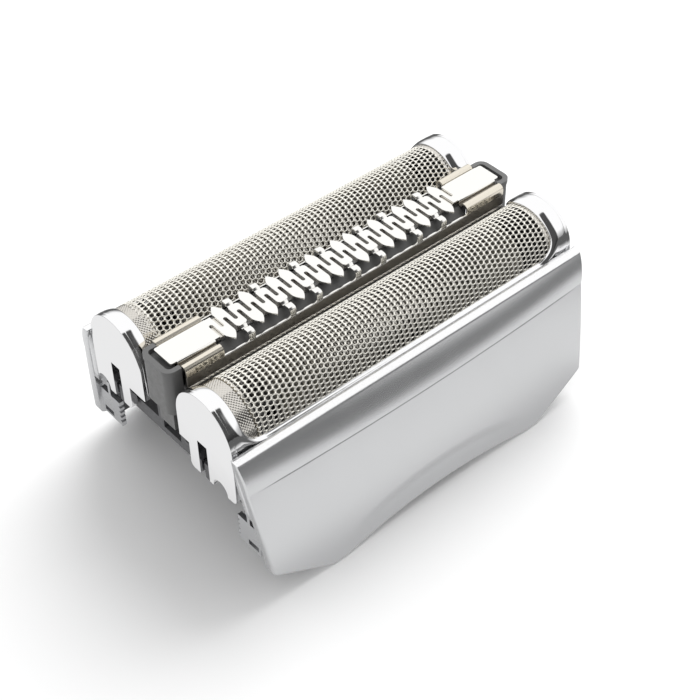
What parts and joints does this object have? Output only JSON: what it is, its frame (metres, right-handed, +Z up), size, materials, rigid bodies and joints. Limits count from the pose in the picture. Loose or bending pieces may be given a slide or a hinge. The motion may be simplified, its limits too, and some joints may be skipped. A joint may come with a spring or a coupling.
{
  "type": "shaver foil head",
  "caption": "Replacement foil cassette for an electric shaver: spring-floated perforated foil arches with cutters below, a slotted trimmer comb between them, and bowed clip-on covers.",
  "frame": {"origin": "centre of the bounding box, at the feet of the covers", "axes": "+X along the foils, -Y the front cover, +Z up out of the foils"},
  "size_m": [0.044, 0.031, 0.0213],
  "materials": {
    "cover_silver": "satin silver paint",
    "chrome": "bright plated",
    "foil_nickel": "satin nickel",
    "comb_steel": "bright steel",
    "blade_steel": "ground steel",
    "spring_steel": "drawn wire",
    "chassis_plastic": "fine matt",
    "holder_plastic": "fine matt",
    "cutter_plastic": "smooth"
  },
  "bodies": {
    "chassis": {"chassis_frame": "chassis_plastic", "front_cover": "cover_silver", "rear_cover": "cover_silver", "front_latch_strip": "chrome", "rear_latch_strip": "chrome", "front_foil_springs": "spring_steel", "rear_foil_springs": "spring_steel", "trimmer_springs": "spring_steel"},
    "front_foil_head": {"front_foil_carrier": "chrome", "front_foil": "foil_nickel"},
    "rear_foil_head": {"rear_foil_carrier": "chrome", "rear_foil": "foil_nickel"},
    "front_cutter": {"front_cutter_carrier": "cutter_plastic", "front_cutter_blades": "blade_steel", "front_cutter_spring": "spring_steel"},
    "rear_cutter": {"rear_cutter_carrier": "cutter_plastic", "rear_cutter_blades": "blade_steel", "rear_cutter_spring": "spring_steel"},
    "front_coupler": {"front_drive_coupler": "cutter_plastic"},
    "rear_coupler": {"rear_drive_coupler": "cutter_plastic"},
    "trimmer_head": {"trimmer_holder": "holder_plastic", "trimmer_comb": "comb_steel"},
    "trimmer_slide": {"trimmer_slider": "cutter_plastic", "trimmer_blade": "blade_steel"}
  },
  "joints": [
    {"name": "front_foil_float", "type": "slide", "parent": "chassis", "child": "front_foil_head", "axis": [0, 0, 1], "range_m": [-0.002, 0], "stiffness_N_per_m": 400, "springref_m": 0.0015, "deforming": ["front_foil_springs"]},
    {"name": "front_cutter_stroke", "type": "slide", "parent": "front_foil_head", "child": "front_cutter", "axis": [1, 0, 0], "range_m": [-0.0012, 0.0012]},
    {"name": "front_coupler_plunge", "type": "slide", "parent": "front_cutter", "child": "front_coupler", "axis": [0, 0, 1], "range_m": [0, 0.0016], "stiffness_N_per_m": 300, "springref_m": -0.001, "deforming": ["front_cutter_spring"]},
    {"name": "rear_foil_float", "type": "slide", "parent": "chassis", "child": "rear_foil_head", "axis": [0, 0, 1], "range_m": [-0.002, 0], "stiffness_N_per_m": 400, "springref_m": 0.0015, "deforming": ["rear_foil_springs"]},
    {"name": "rear_cutter_stroke", "type": "slide", "parent": "rear_foil_head", "child": "rear_cutter", "axis": [1, 0, 0], "range_m": [-0.0012, 0.0012]},
    {"name": "rear_coupler_plunge", "type": "slide", "parent": "rear_cutter", "child": "rear_coupler", "axis": [0, 0, 1], "range_m": [0, 0.0016], "stiffness_N_per_m": 300, "springref_m": -0.001, "deforming": ["rear_cutter_spring"]},
    {"name": "trimmer_float", "type": "slide", "parent": "chassis", "child": "trimmer_head", "axis": [0, 0, 1], "range_m": [-0.0015, 0], "stiffness_N_per_m": 300, "springref_m": 0.001, "deforming": ["trimmer_springs"]},
    {"name": "trimmer_stroke", "type": "slide", "parent": "trimmer_head", "child": "trimmer_slide", "axis": [1, 0, 0], "range_m": [-0.0012, 0.0012]}
  ],
  "couplings": [
    {"joint": "trimmer_stroke", "follows": "front_cutter_stroke", "ratio": 1}
  ]
}
